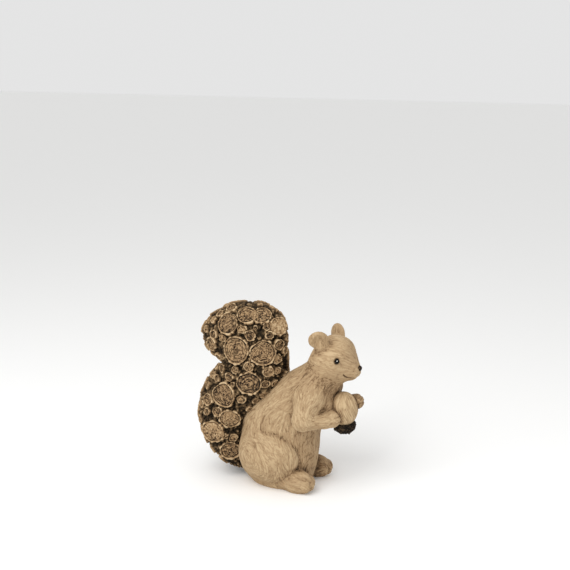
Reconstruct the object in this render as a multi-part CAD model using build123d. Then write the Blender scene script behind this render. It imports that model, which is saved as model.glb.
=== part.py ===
from build123d import *
import math
import os

# A sitting squirrel ornament with a tail of sawn log slices, holding an acorn.
# Millimetres. X runs from the tail to the nose, Y to the figure's left, Z up from the shelf.

# Body casting: torso and haunches in one
body_height = 116.6
body_length = 97.0
body_width = 56.0
body_place = 12.0
haunch_length = 59.0
haunch_height = 51.0
haunch_depth = 40.0
haunch_spread = 19.0
haunch_place = 4.5
haunch_lift = 30.0

# Furrows that part the locks of fur on the torso and haunches
furrow_depth = 0.8
furrow_width = 1.6

# Neck joint, a flat face square to the neck
neck_place = 45.0
neck_lift = 102.6
neck_tilt = 29.0
neck_peg_radius = 9.0
neck_peg_length = 12.0

# Head casting
head_length = 45.0
head_height = 43.0
head_width = 42.0
head_tilt = 21.8
head_place = 36.0
head_lift = 127.6
ear_width = 16.5
ear_height = 18.0
ear_depth = 6.0
ear_rim = 2.2
ear_cup_depth = 2.6
ear_spread = 17.8
ear_turn = 28.0
ear_lean = -18.0
eye_radius = 2.6
nose_radius = 2.9

# Arms
shoulder_radius = 13.0
elbow_radius = 9.5
wrist_radius = 7.2
paw_radius = 7.6
finger_radius = 2.8

# Feet
foot_length = 30.0
foot_width = 20.0
foot_height = 22.0
foot_spread = 20.5
foot_place = 28.0
foot_lift = 8.5
toe_length = 12.0
toe_height = 13.0

# Acorn, held cap down
acorn_radius = 12.2
acorn_height = 31.0
acorn_seat = 2.0
acorn_cap_radius = 10.8
acorn_cap_height = 9.0
acorn_cap_rim = 2.0
acorn_place = 64.0
acorn_lift = 61.1
acorn_tilt = 4.0

# Tail casting
tail_height = 154.8
tail_length = 86.0
tail_width = 50.0
tail_lift = 6.0
tail_place = -35.0

# Log slices on the tail
slice_radius = 11.5
slice_proud = 2.8
slice_bed = 5.0
slice_gap = 0.6
slice_foot_room = 1.5
slice_sink = 0.8
bark_width = 1.2
ring_width = 0.9
ring_depth = 0.4

# Joints: round pegs cast on the pieces and glued into sockets
tail_peg_radius = 9.0
tail_peg_length = 12.0
arm_peg_radius = 4.0
arm_peg_length = 7.0
foot_peg_radius = 3.5
foot_peg_length = 6.0
ear_peg_radius = 1.6
ear_peg_length = 7.0
glue_gap = 0.15

# Height, back, front and half width of the torso, as shares of its height, length, length and width.
torso_shares = [
    (0.000, -0.37, 0.21, 0.43),
    (0.080, -0.47, 0.23, 0.48),
    (0.185, -0.50, 0.26, 0.50),
    (0.300, -0.49, 0.28, 0.50),
    (0.410, -0.48, 0.29, 0.49),
    (0.505, -0.46, 0.33, 0.48),
    (0.595, -0.38, 0.38, 0.47),
    (0.680, -0.26, 0.43, 0.46),
    (0.770, -0.13, 0.47, 0.44),
    (0.865, 0.00, 0.49, 0.39),
    (0.935, 0.09, 0.49, 0.34),
    (1.000, 0.17, 0.48, 0.30),
]

# Furrows on each side of the torso: height shares of foot and top, lean, and degrees round from the front.
torso_furrow_shares = [
    (0.44, 0.84, 35, (96, 116, 138)),
    (0.47, 0.74, 25, (12, 34)),
    (0.12, 0.43, 0, (11, 32, 52)),
]

# Furrows on each haunch: how far out on its side, and how far forward their arc is turned, in degrees.
haunch_furrow_shares = [(0.34, 50), (0.6, 20), (0.86, -10)]

# Place along the head, centre height, half height and half width, as shares of its length, height and width.
head_shares = [
    (0.000, -0.090, 0.07, 0.12),
    (0.030, -0.085, 0.20, 0.25),
    (0.080, -0.060, 0.29, 0.33),
    (0.155, -0.020, 0.38, 0.41),
    (0.310, -0.010, 0.45, 0.47),
    (0.530, -0.010, 0.48, 0.50),
    (0.680, -0.025, 0.445, 0.45),
    (0.800, -0.045, 0.355, 0.345),
    (0.895, -0.080, 0.245, 0.24),
    (0.955, -0.070, 0.180, 0.18),
    (1.000, -0.045, 0.090, 0.09),
]
ear_place_shares = (0.17, 0.31)
eye_place_shares = (0.60, 0.12)
nose_place_shares = (0.955, 0.045)

# Forward, sideways and up places of the arm joints, as shares of the body's length, width and height.
shoulder_shares = (0.29, 0.38, 0.745)
elbow_shares = (0.225, 0.52, 0.600)
wrist_right_shares = (0.41, 0.34, 0.590)
wrist_left_shares = (0.47, 0.33, 0.630)
paw_right_shares = (0.475, 0.25, 0.595)
paw_left_shares = (0.580, 0.19, 0.670)
finger_rise_shares = (-0.6, 0.0, 0.6)

# Height, rear, front and half width of the tail, as shares of its height, length, length and width.
tail_shares = [
    (0.000, -0.07, 0.06, 0.12),
    (0.030, -0.14, 0.09, 0.27),
    (0.080, -0.25, 0.10, 0.39),
    (0.130, -0.34, 0.10, 0.45),
    (0.190, -0.41, 0.10, 0.49),
    (0.270, -0.46, 0.12, 0.50),
    (0.345, -0.475, 0.15, 0.50),
    (0.470, -0.42, 0.35, 0.49),
    (0.540, -0.35, 0.44, 0.48),
    (0.595, -0.27, 0.48, 0.47),
    (0.640, -0.22, 0.48, 0.46),
    (0.675, -0.23, 0.48, 0.47),
    (0.705, -0.32, 0.48, 0.49),
    (0.745, -0.40, 0.475, 0.50),
    (0.800, -0.42, 0.475, 0.50),
    (0.850, -0.40, 0.47, 0.49),
    (0.895, -0.34, 0.45, 0.45),
    (0.935, -0.25, 0.40, 0.38),
    (0.965, -0.16, 0.33, 0.29),
    (0.990, -0.05, 0.22, 0.17),
    (1.000, 0.04, 0.12, 0.06),
]

# The large slices on the tail's right side: height share, degrees round from the front, radius share.
large_slice_shares = [
    (0.90, 103, 0.92),
    (0.95, 75, 0.78),
    (0.95, 45, 0.78),
    (0.89, 16, 0.76),
    (0.76, 84, 1.12),
    (0.75, 47, 1.02),
    (0.57, 71, 0.98),
    (0.48, 97, 1.00),
    (0.34, 63, 0.82),
    (0.25, 96, 0.96),
    (0.14, 66, 0.80),
]

# The branch slices between them, in the same three numbers.
branch_slice_shares = [
    (0.88, 78, 0.34), (0.90, 40, 0.34), (0.85, 65, 0.42), (0.85, 51, 0.33), (0.85, 36, 0.31),
    (0.79, 19, 0.44), (0.83, 120, 0.35), (0.77, 124, 0.56), (0.84, 141, 0.29), (0.82, 103, 0.30),
    (0.97, 126, 0.44), (0.90, 137, 0.29), (0.99, 15, 0.25), (0.71, 25, 0.40), (0.89, 58, 0.17),
    (0.67, 77, 0.40), (0.64, 61, 0.44), (0.64, 44, 0.44), (0.64, 26, 0.28), (0.62, 133, 0.34),
    (0.59, 107, 0.37), (0.56, 128, 0.30), (0.555, 94, 0.16), (0.57, 45, 0.34), (0.43, 122, 0.52),
    (0.36, 112, 0.31), (0.375, 90, 0.44), (0.23, 71, 0.25), (0.22, 54, 0.33), (0.47, 67, 0.34),
    (0.44, 57, 0.28),
]

# The unseen side is filled by rule: radii tried in turn, and the number of places tried for each.
fill_radius_shares = (0.95, 0.72, 0.54, 0.41, 0.31)
fill_places = 900
fill_low_share = 0.05
fill_high_share = 0.992
golden_turn = 137.508

# Degrees round the tail between which slices are placed one by one, and the largest filled in there.
seen_from = -20
seen_to = 165
seen_fill_share = 0.33

# The largest slice on the tail's narrow edges, how oval a slice is and the least that a cut leaves of it.
edge_share = 0.62
slice_oval_share = 0.93
bark_share = 0.22
ring_shares = (0.35, 0.7)
slice_kept_share = 0.35

# Slices this large are pieces of their own. The rest go by bands of the tail's height.
log_slice_least_share = 0.75
lower_share = 0.35
middle_share = 0.66


def blend(rows, at):
    """The values at one place, on a smooth curve through the rows on each side of it."""
    last = len(rows) - 1
    low = max(0, min(last - 1, sum(row[0] <= at for row in rows) - 1))
    before, start, end, after = (rows[max(0, min(last, low + k))] for k in (-1, 0, 1, 2))
    span = end[0] - start[0]
    part = (at - start[0]) / span
    values = []
    for k in range(1, len(start)):
        slope_in = (end[k] - before[k]) / (end[0] - before[0]) * span
        slope_out = (after[k] - start[k]) / (after[0] - start[0]) * span
        values.append(
            (1 + 2 * part) * (1 - part) ** 2 * start[k]
            + part * (1 - part) ** 2 * slope_in
            + part**2 * (3 - 2 * part) * end[k]
            - part**2 * (1 - part) * slope_out
        )
    return values


# A cylinder, cone or block that stands on its plane, and a blade that runs out from its middle line
foot_aligned = (Align.CENTER, Align.CENTER, Align.MIN)
out_aligned = (Align.MIN, Align.CENTER, Align.CENTER)


def level_oval(height, back, front, half_width):
    """A level oval section that reaches from back to front."""
    centre = ((back + front) / 2, 0, height)
    return Plane(centre, x_dir=(1, 0, 0), z_dir=(0, 0, 1)) * Ellipse((front - back) / 2, half_width)


def ellipsoid(length, width, height):
    return scale(Sphere(1), by=(length / 2, width / 2, height / 2))


def ball_and_cone(start, end, start_radius, end_radius):
    """A ball at the start and a cone that runs on from it to the end."""
    axis = end - start
    lean = (start_radius - end_radius) / axis.length
    reach = math.sqrt(1 - lean**2)
    low = start + axis.normalized() * (start_radius * lean)
    high = end + axis.normalized() * (end_radius * lean)
    cone_height = (high - low).length
    cone = Cone(start_radius * reach, end_radius * reach, cone_height, align=foot_aligned)
    return Pos(*start) * Sphere(start_radius) + Plane(low, z_dir=axis) * cone


def peg(plane, radius, length):
    """A round peg along the plane's normal, bedded in the piece behind it by its own length."""
    return plane.offset(-length) * Cylinder(radius, 2 * length, align=foot_aligned)


def largest(shape):
    """The largest solid of a cut, without any crumbs."""
    return max(shape.solids(), key=lambda solid: solid.volume)


def beyond(plane):
    """A block that covers everything near the figure on the plane's front side."""
    reach = 2 * body_height
    return plane * Box(reach, reach, reach, align=foot_aligned)


def flipped(plane):
    return Plane(plane.origin, x_dir=plane.x_dir, z_dir=-plane.z_dir)


# Torso and haunches
neck_plane = Plane(
    (neck_place, 0, neck_lift),
    x_dir=(0, 1, 0),
    z_dir=(math.sin(math.radians(neck_tilt)), 0, math.cos(math.radians(neck_tilt))),
)


def make_body(pressed):
    """The body's outside, pressed in all round by a depth."""
    ovals = []
    for up, back, front, half in torso_shares:
        back_place = body_place + back * body_length + pressed
        front_place = body_place + front * body_length - pressed
        ovals.append(level_oval(up * body_height, back_place, front_place, half * body_width - pressed))
    body = loft(ovals)
    length, width, height = (size - 2 * pressed for size in (haunch_length, haunch_depth, haunch_height))
    for side in (-1, 1):
        body += Pos(haunch_place, side * haunch_spread, haunch_lift) * ellipsoid(length, width, height)
    return body - beyond(neck_plane)


def torso_furrows():
    """Thin blades that stand round the torso's middle and lean with it."""
    blades = []
    for foot, top, lean, turns in torso_furrow_shares:
        middle = (foot + top) / 2
        back, front, _ = blend(torso_shares, middle)
        centre = Pos(body_place + (back + front) / 2 * body_length, 0, middle * body_height) * Rot(0, lean, 0)
        blade = Box(body_length, furrow_width, (top - foot) * body_height, align=out_aligned)
        for turn in turns:
            blades += [centre * Rot(0, 0, side * turn) * blade for side in (-1, 1)]
    return blades


def haunch_furrows(side):
    """Bands that run round the haunch's side from its rear over its top, each further than the next."""
    bands = []
    for size, turn in haunch_furrow_shares:
        plane = Plane((haunch_place, side * haunch_spread, haunch_lift), x_dir=(1, 0, 0), z_dir=(0, side, 0))
        length, height = size * haunch_length / 2, size * haunch_height / 2
        ring = Ellipse(length, height) - Ellipse(length - furrow_width, height - furrow_width)
        lean = math.radians(turn)
        half = beyond(Plane(plane.origin, z_dir=(math.sin(lean), 0, math.cos(lean))))
        bands.append(extrude(plane * ring, haunch_depth) & half)
    return bands


def carved_body(body):
    """The body with furrows down to the depth that parts its locks of fur."""
    core = make_body(furrow_depth)
    for band in torso_furrows() + haunch_furrows(-1) + haunch_furrows(1):
        body -= band - core
    return body


# Head, ears, eyes and nose
head_slope = math.radians(head_tilt)
head_plane = Plane(
    (head_place, 0, head_lift),
    x_dir=(0, 1, 0),
    z_dir=(math.cos(head_slope), 0, -math.sin(head_slope)),
)


def head_point(along, across, up):
    """A point given along the head's axis, to the figure's left and above the axis."""
    return head_plane.origin + head_plane.z_dir * along + head_plane.x_dir * across + head_plane.y_dir * up


def make_head():
    ovals = []
    for along, centre, half_height, half_width in head_shares:
        oval = Pos(0, centre * head_height) * Ellipse(half_width * head_width, half_height * head_height)
        ovals.append(head_plane.offset(along * head_length) * oval)
    return loft(ovals) - beyond(flipped(neck_plane))


def ear_plane(side):
    """The ear's middle: the normal runs out through the cup and the plane's Y runs up the ear."""
    along, up = ear_place_shares
    centre = head_point(along * head_length, side * ear_spread, up * head_height)
    turn = math.radians(ear_turn)
    lean = math.radians(ear_lean)
    outward = Vector(math.sin(turn), side * math.cos(turn) * math.cos(lean), math.sin(lean))
    forward = Vector(math.cos(turn), -side * math.sin(turn), 0)
    return Plane(centre, x_dir=forward * -side, z_dir=outward)


def make_ear(side, head):
    plane = ear_plane(side)
    cup_width = ear_width - 2 * ear_rim
    cup_height = ear_height - 2 * ear_rim
    ear = plane * ellipsoid(ear_width, ear_height, ear_depth)
    cup = plane.offset(ear_depth / 2) * ellipsoid(cup_width, cup_height, 2 * ear_cup_depth)
    return largest(ear - cup - head) + ear_peg(side, ear_peg_radius, ear_peg_length)


def ear_peg(side, radius, length):
    """The peg from the back of the ear's lower half into the head."""
    plane = ear_plane(side)
    root = plane.origin - plane.y_dir * (ear_height / 4)
    return Plane(root, z_dir=-plane.z_dir) * Cylinder(radius, length, align=foot_aligned)


def eye_plane(side):
    """The eye bead's middle, with its normal out through the side of the head."""
    along, up = eye_place_shares
    centre, half_height, half_width = blend(head_shares, along)
    across = half_width * head_width * math.sqrt(1 - ((up - centre) / half_height) ** 2)
    point = head_point(along * head_length, side * (across - eye_radius / 2), up * head_height)
    return Plane(point, z_dir=(0, side, 0))


def eye_socket(side):
    """The drilled socket that an eye bead is pressed into."""
    reach = eye_radius + glue_gap
    return peg(eye_plane(side), reach, 2 * eye_radius) & beyond(eye_plane(side).offset(-reach))


def nose_plane():
    along, up = nose_place_shares
    return Plane(head_point(along * head_length, 0, up * head_height), z_dir=head_plane.z_dir)


def nose_socket():
    reach = nose_radius + glue_gap
    return peg(nose_plane(), reach, 2 * nose_radius) & beyond(nose_plane().offset(-reach))


# Arms and feet
def body_point(shares, side):
    """A place beside the body from its shares: side is -1 on the right and 1 on the left."""
    along, across, up = shares
    return Vector(body_place + along * body_length, side * across * body_width, up * body_height)


def make_arm(side, wrist_shares, paw_shares):
    shoulder = body_point(shoulder_shares, side)
    elbow = body_point(elbow_shares, side)
    wrist = body_point(wrist_shares, side)
    paw = body_point(paw_shares, side)
    arm = ball_and_cone(shoulder, elbow, shoulder_radius, elbow_radius)
    arm += ball_and_cone(elbow, wrist, elbow_radius, wrist_radius)
    arm += ball_and_cone(wrist, paw, wrist_radius, paw_radius)
    arm += Pos(*paw) * Sphere(paw_radius)
    onward = (paw - wrist).normalized() * (paw_radius - finger_radius)
    for rise in finger_rise_shares:
        finger = paw + onward + Vector(0, 0, rise * paw_radius)
        arm += Pos(*finger) * ellipsoid(4 * finger_radius, 2 * finger_radius, 2 * finger_radius)
    return arm


def arm_peg(side, radius, length):
    """The peg from the shoulder into the side of the torso."""
    return peg(Plane(body_point(shoulder_shares, side), z_dir=(0, -side, 0)), radius, length)


def make_foot(side):
    heel = Vector(foot_place, side * foot_spread, foot_lift)
    foot = Pos(*heel) * ellipsoid(foot_length, foot_width, foot_height)
    for turn in (-1, 0, 1):
        toe = ellipsoid(toe_length, foot_width / 3, toe_height)
        tip = foot_place + foot_length / 2 - toe_length / (3 - abs(turn))
        foot += Pos(tip, side * foot_spread + turn * foot_width / 3.6, foot_lift) * toe
    return foot - beyond(flipped(Plane.XY))


def foot_peg(side, radius, length):
    """The peg from the foot back into the haunch."""
    root = Vector(foot_place, side * foot_spread, foot_lift + foot_height / 5)
    return peg(Plane(root, z_dir=(-1, 0, 0)), radius, length)


# Acorn, drawn upright about its own axis with the cap's rim at the origin, then tilted
acorn_location = Pos(acorn_place, 0, acorn_lift) * Rot(0, acorn_tilt, 0)


def make_acorn_nut():
    nut = Pos(0, 0, acorn_height / 2 - acorn_seat) * ellipsoid(2 * acorn_radius, 2 * acorn_radius, acorn_height)
    return acorn_location * nut


def make_acorn_cap(nut):
    bowl = ellipsoid(2 * acorn_cap_radius, 2 * acorn_cap_radius, 2 * acorn_cap_height)
    bowl -= beyond(Plane.XY.offset(acorn_cap_rim))
    return largest(acorn_location * bowl - nut)


# Tail casting
def tail_oval(share):
    """The height, rear, front and half width of the tail at a share of its height."""
    rear, front, half = blend(tail_shares, share)
    height = tail_lift + share * tail_height
    return height, tail_place + rear * tail_length, tail_place + front * tail_length, half * tail_width


def make_tail():
    return loft([level_oval(*tail_oval(row[0])) for row in tail_shares], ruled=True)


def tail_point(share, degrees):
    """A point on the tail, by height share and degrees round from the front by way of the right side."""
    height, rear, front, half = tail_oval(share)
    turn = math.radians(degrees)
    return Vector((rear + front) / 2 + (front - rear) / 2 * math.cos(turn), -half * math.sin(turn), height)


def tail_plane(share, degrees):
    """The plane that touches the tail at a point, with its normal outwards."""
    share_step, turn_step = 0.004, 1.0
    rise = tail_point(min(1, share + share_step), degrees) - tail_point(max(0, share - share_step), degrees)
    around = tail_point(share, degrees + turn_step) - tail_point(share, degrees - turn_step)
    return Plane(tail_point(share, degrees), z_dir=rise.cross(around))


def tail_peg(radius, length):
    """The peg from the tail forward into the rump."""
    share = 1 / 3
    back, front, half = blend(torso_shares, share)
    root = Vector(body_place + back * body_length, 0, share * body_height)
    return peg(Plane(root, z_dir=(1, 0, 0)), radius, length)


# Log slices: each is a place on the tail and a radius
def slice_fits(spot, radius, placed):
    """True where a slice keeps its gap to the others at its foot and at its face."""
    for other, other_radius in placed:
        least = radius + other_radius + slice_gap
        if math.dist(spot[0], other[0]) < least or math.dist(spot[1], other[1]) < least:
            return False
    return True


def slice_spot(plane):
    """The middle of a slice's foot and of its face, as bare points."""
    return tuple(plane.origin), tuple(plane.origin + plane.z_dir * slice_proud)


def slice_is_free(plane, radius):
    """True where a slice suits the tail's bend, clears the shelf and has its middle outside the body."""
    if radius > slice_radius * (edge_share + (1 - edge_share) * abs(plane.z_dir.Y)):
        return False
    drop = radius * math.sqrt(1 - plane.z_dir.Z**2)
    lowest = min(plane.origin.Z, (plane.origin + plane.z_dir * slice_proud).Z) - drop
    share = plane.origin.Z / body_height
    if lowest < slice_foot_room or share > 1:
        return lowest >= slice_foot_room
    back, front, half = blend(torso_shares, share)
    length = (front - back) / 2 * body_length
    along = (plane.origin.X - body_place - (back + front) / 2 * body_length) / length
    across = plane.origin.Y / (half * body_width)
    return math.hypot(along, across) > 1 + radius / length / 3


def is_seen(degrees):
    """True on the tail's right side, whose slices are placed one by one."""
    return (degrees - seen_from) % 360 < seen_to - seen_from


def fill_slices(placed):
    """Slices for the rest of the tail: the largest that fit, on a spiral of golden turns."""
    spots = [(slice_spot(plane), radius) for plane, radius in placed]
    places = []
    for step in range(fill_places):
        share = fill_low_share + (fill_high_share - fill_low_share) * (step + 0.5) / fill_places
        degrees = step * golden_turn % 360
        places.append((degrees, tail_plane(share, degrees)))
    filled = []
    for radius_share in fill_radius_shares:
        radius = radius_share * slice_radius
        for degrees, plane in places:
            if is_seen(degrees) and radius_share > seen_fill_share:
                continue
            spot = slice_spot(plane)
            if slice_is_free(plane, radius) and slice_fits(spot, radius, spots):
                spots.append((spot, radius))
                filled.append((plane, radius))
    return filled


def make_slice(plane, radius, turn):
    """An oval slice of a branch: a sawn face sunk in a rim of bark, with growth rings if it is large."""
    bed = plane.offset(-slice_bed) * Rot(0, 0, turn)
    disc = extrude(bed * slice_oval(radius), slice_bed + slice_proud)
    wood = radius - min(bark_width, bark_share * radius)
    face = plane.offset(slice_proud - slice_sink) * Rot(0, 0, turn)
    disc -= extrude(face * slice_oval(wood), slice_sink)
    if radius >= log_slice_least_share * slice_radius:
        for share in ring_shares:
            ring = slice_oval(share * wood) - slice_oval(share * wood - ring_width)
            disc -= extrude(face * ring, -ring_depth)
    return disc


def slice_oval(radius):
    return Ellipse(radius, radius * slice_oval_share)


def carved(shape, tools):
    """What is left of a shape after each tool in turn, as one solid, or nothing."""
    for tool in tools:
        cut = shape - tool
        if not cut or not cut.solids():
            return None
        shape = largest(cut)
    return shape


def zone(plane):
    """The part of the tail that a branch slice belongs to, in a maker's words."""
    share = (plane.origin.Z - tail_lift) / tail_height
    band = "lower" if share < lower_share else "middle" if share < middle_share else "upper"
    if abs(plane.z_dir.Y) > abs(plane.z_dir.X):
        return band + ("_left" if plane.z_dir.Y > 0 else "_right")
    return band + ("_front" if plane.z_dir.X > 0 else "_rear")


# Pieces of the figure. Each seam is shared: the later piece is cut by the one that it is glued to.
body_whole = make_body(pressed=0)
head_whole = make_head()
nut = make_acorn_nut()
cap = make_acorn_cap(nut)
tail_whole = make_tail()
body = carved_body(body_whole)
head = head_whole
pieces = {"acorn_nut": nut, "acorn_cap": cap}

for side, hand in ((-1, "right"), (1, "left")):
    arm_shares = {-1: (wrist_right_shares, paw_right_shares), 1: (wrist_left_shares, paw_left_shares)}[side]
    arm = largest(make_arm(side, *arm_shares) - body_whole - nut - cap)
    pieces["arm_" + hand] = arm + arm_peg(side, arm_peg_radius, arm_peg_length)
    body -= arm_peg(side, arm_peg_radius + glue_gap, arm_peg_length + glue_gap)

    foot = largest(make_foot(side) - body_whole)
    pieces["foot_" + hand] = foot + foot_peg(side, foot_peg_radius, foot_peg_length)
    body -= foot_peg(side, foot_peg_radius + glue_gap, foot_peg_length + glue_gap)

    pieces["ear_" + hand] = make_ear(side, head_whole)
    head -= ear_peg(side, ear_peg_radius + glue_gap, ear_peg_length + glue_gap)

    pieces["eye_" + hand] = eye_plane(side) * Sphere(eye_radius)
    head -= eye_socket(side)

pieces["nose"] = nose_plane() * Sphere(nose_radius)
head -= nose_socket()
head += peg(flipped(neck_plane), neck_peg_radius, neck_peg_length)
body -= peg(flipped(neck_plane), neck_peg_radius + glue_gap, neck_peg_length + glue_gap)
body -= tail_peg(tail_peg_radius + glue_gap, tail_peg_length + glue_gap)
pieces["body_casting"] = largest(body)
pieces["head_casting"] = largest(head)
pieces["tail_casting"] = largest(tail_whole - body_whole) + tail_peg(tail_peg_radius, tail_peg_length)

# Slices: those of the right side first, then the fill
seen_large = [(tail_plane(share, turn), size * slice_radius) for share, turn, size in large_slice_shares]
seen_branch = [(tail_plane(share, turn), size * slice_radius) for share, turn, size in branch_slice_shares]
log_slices = 0
made = []
for number, (plane, radius) in enumerate(seen_large + seen_branch + fill_slices(seen_large + seen_branch)):
    disc = make_slice(plane, radius, number * golden_turn)
    near = [other for place, size, other in made if (plane.origin - place.origin).length < radius + size]
    reaches_body = plane.origin.Z < body_height and plane.origin.X + radius > body_place - body_length / 2
    solid = carved(disc, [tail_whole] + [body_whole] * reaches_body + near)
    if solid is None or solid.volume < slice_kept_share * radius**2 * slice_proud:
        continue
    made.append((plane, radius, solid))
    if radius >= log_slice_least_share * slice_radius:
        log_slices += 1
        pieces[f"log_slice_{log_slices:02d}"] = solid
    else:
        pieces.setdefault("branch_slices_" + zone(plane), []).append(solid)

os.makedirs("parts", exist_ok=True)
for name, shape in pieces.items():
    if isinstance(shape, list):
        shape = Compound(children=shape)
    export_step(shape, f"parts/{name}.step")
    print(f"{name}: {shape.volume:.0f}")
print(len(pieces), "nodes,", len(made), "slices")
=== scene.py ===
import math

import bpy
import numpy as np
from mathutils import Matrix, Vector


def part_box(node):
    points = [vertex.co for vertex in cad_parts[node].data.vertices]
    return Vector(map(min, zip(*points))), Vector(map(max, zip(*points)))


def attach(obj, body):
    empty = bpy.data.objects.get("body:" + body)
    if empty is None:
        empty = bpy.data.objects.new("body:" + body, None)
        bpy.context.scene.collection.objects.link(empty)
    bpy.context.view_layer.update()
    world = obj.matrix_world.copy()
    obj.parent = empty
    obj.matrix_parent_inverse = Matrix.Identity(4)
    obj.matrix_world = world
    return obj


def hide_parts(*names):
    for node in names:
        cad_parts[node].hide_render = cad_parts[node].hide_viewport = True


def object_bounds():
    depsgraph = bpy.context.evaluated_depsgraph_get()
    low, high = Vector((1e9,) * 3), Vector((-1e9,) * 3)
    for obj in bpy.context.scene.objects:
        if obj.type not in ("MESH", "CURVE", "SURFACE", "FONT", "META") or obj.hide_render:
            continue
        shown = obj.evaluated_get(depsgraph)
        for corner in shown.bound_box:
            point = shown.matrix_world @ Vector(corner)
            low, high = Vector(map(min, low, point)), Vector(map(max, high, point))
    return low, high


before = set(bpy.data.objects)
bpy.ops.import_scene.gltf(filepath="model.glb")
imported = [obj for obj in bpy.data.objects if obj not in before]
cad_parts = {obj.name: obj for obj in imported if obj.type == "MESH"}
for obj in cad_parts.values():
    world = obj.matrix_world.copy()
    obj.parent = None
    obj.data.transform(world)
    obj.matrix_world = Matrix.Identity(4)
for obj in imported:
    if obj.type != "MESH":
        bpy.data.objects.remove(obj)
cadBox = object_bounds()
mm = 0.001  # every size below is in millimetres


# Meshes and noise

def addObject(name, data):
    # a new object in the scene
    item = bpy.data.objects.new(name, data)
    bpy.context.scene.collection.objects.link(item)
    return item


def makeMesh(name, points, faces, values, material, smooth=True):
    # points in millimetres, faces as an array for each number of sides, values as a number for each point
    mesh = bpy.data.meshes.new(name)
    sides = np.concatenate([np.full(len(rows), rows.shape[1]) for rows in faces])
    corners = np.concatenate([rows.ravel() for rows in faces])
    starts = np.concatenate([[0], np.cumsum(sides)[:-1]])
    mesh.vertices.add(len(points))
    mesh.vertices.foreach_set("co", (points * mm).astype(np.float32).ravel())
    mesh.loops.add(len(corners))
    mesh.loops.foreach_set("vertex_index", corners.astype(np.int32))
    mesh.polygons.add(len(sides))
    mesh.polygons.foreach_set("loop_start", starts.astype(np.int32))
    mesh.polygons.foreach_set("use_smooth", np.full(len(sides), smooth))
    for label, numbers in values.items():
        mesh.attributes.new(label, "FLOAT", "POINT").data.foreach_set("value", numbers.astype(np.float32))
    mesh.update(calc_edges=True)
    mesh.validate()
    mesh.materials.append(material)
    return addObject(name, mesh)


def place(piece, slot, *nodes):
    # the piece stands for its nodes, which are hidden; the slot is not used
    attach(piece, "root")
    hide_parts(*nodes)


noiseTable = np.random.default_rng(11).standard_normal((64, 64, 64)).astype(np.float32)


def solidNoise(points, pitch):
    # random numbers at whole places in space, joined by smooth steps
    at = points / pitch
    low = np.floor(at).astype(np.int64)
    part = (at - low).astype(np.float32)
    part = part * part * (3 - 2 * part)
    total = np.zeros(len(points), np.float32)
    for pick in np.indices((2, 2, 2)).reshape(3, -1)[::-1].T:
        weight = np.prod(np.where(pick, part, 1 - part), axis=1)
        i, j, k = ((low + pick) & 63).T
        total += weight * noiseTable[i, j, k]
    return total


def lumpNoise(points, pitch):
    # scattered places: how far the nearest lies, in pitches, and a random number that belongs to it
    at = points / pitch
    low = np.floor(at).astype(np.int64)
    best, own = np.full(len(points), 9.0), np.zeros(len(points))
    for shift in np.indices((3, 3, 3)).reshape(3, -1).T - 1:
        i, j, k = ((low + shift) & 63).T
        jitter = np.stack([noiseTable[i, j, k], noiseTable[j, k, i], noiseTable[k, i, j]], 1) * 0.2
        off = lengthOf(low + shift + 0.5 + jitter - at)
        nearer = off < best
        best, own = np.where(nearer, off, best), np.where(nearer, noiseTable[i, k, j], own)
    return best, own


def smoothStep(value, low, high):
    # nought up to low and one from high on, with a smooth step between
    part = np.clip((value - low) / (high - low), 0, 1)
    return part * part * (3 - 2 * part)


def bell(value, width):
    # one at nought, fading to nothing within about twice the width
    return np.exp(-((value / width) ** 2))


def lengthOf(vectors):
    # the root of the summed squares, never quite nought
    return np.sqrt(np.einsum("...i,...i->...", vectors, vectors)) + 1e-9


def unit(vectors):
    # the same ways with a length of one
    return vectors / lengthOf(vectors)[..., None]


# Distances in space, less than nothing inside a shape

def smoothRows(rows, count=300):
    # the rows joined by smooth curves: places, values and slopes
    rows = np.array(rows, float)
    places = np.linspace(rows[0, 0], rows[-1, 0], count)
    slope = np.gradient(rows[:, 1:], rows[:, 0], axis=0)
    low = np.clip(np.searchsorted(rows[:, 0], places, side="right") - 1, 0, len(rows) - 2)
    span = (rows[low + 1, 0] - rows[low, 0])[:, None]
    part = (places - rows[low, 0])[:, None] / span
    values = (
        (1 + 2 * part) * (1 - part) ** 2 * rows[low, 1:]
        + part * (1 - part) ** 2 * span * slope[low]
        + part**2 * (3 - 2 * part) * rows[low + 1, 1:]
        - part**2 * (1 - part) * span * slope[low + 1]
    )
    return places, values, np.gradient(values, places, axis=0)


def stackTerms(s, p, q, table):
    # where a point lies in a stack of ovals along s: its shares across, and how the oval changes there
    places, values, slopes = table
    centre, halfP, halfQ = (np.interp(s, places, values[:, k]) for k in range(3))
    change = [np.interp(s, places, slopes[:, k]) for k in range(3)]
    return (p - centre) / halfP, q / halfQ, halfP, halfQ, change


def stackField(s, p, q, table):
    # the share across less one, over its own steepness; past the ends, the distance from the end oval
    x, y, halfP, halfQ, change = stackTerms(s, p, q, table)
    past = np.maximum(table[0][0] - s, s - table[0][-1])
    k = np.sqrt(x * x + y * y) + 1e-6
    along = -(x * change[0] / halfP + x * x * change[1] / halfP + y * y * change[2] / halfQ) / k * (past < 0)
    steep = np.sqrt((x / halfP) ** 2 + (y / halfQ) ** 2) / k
    field = (k - 1) / np.sqrt(steep**2 + np.minimum(along**2, 3 * steep**2) + 1e-9)
    return np.where(past > 0, np.hypot(np.maximum(field, 0), past), np.maximum(field, past))


def ballField(points, centre, radii):
    # an ellipsoid: the scaled length, times itself less one, over the length scaled twice
    x = (points - centre) / radii
    k = lengthOf(x)
    return k * (k - 1) / lengthOf(x / radii)


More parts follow.
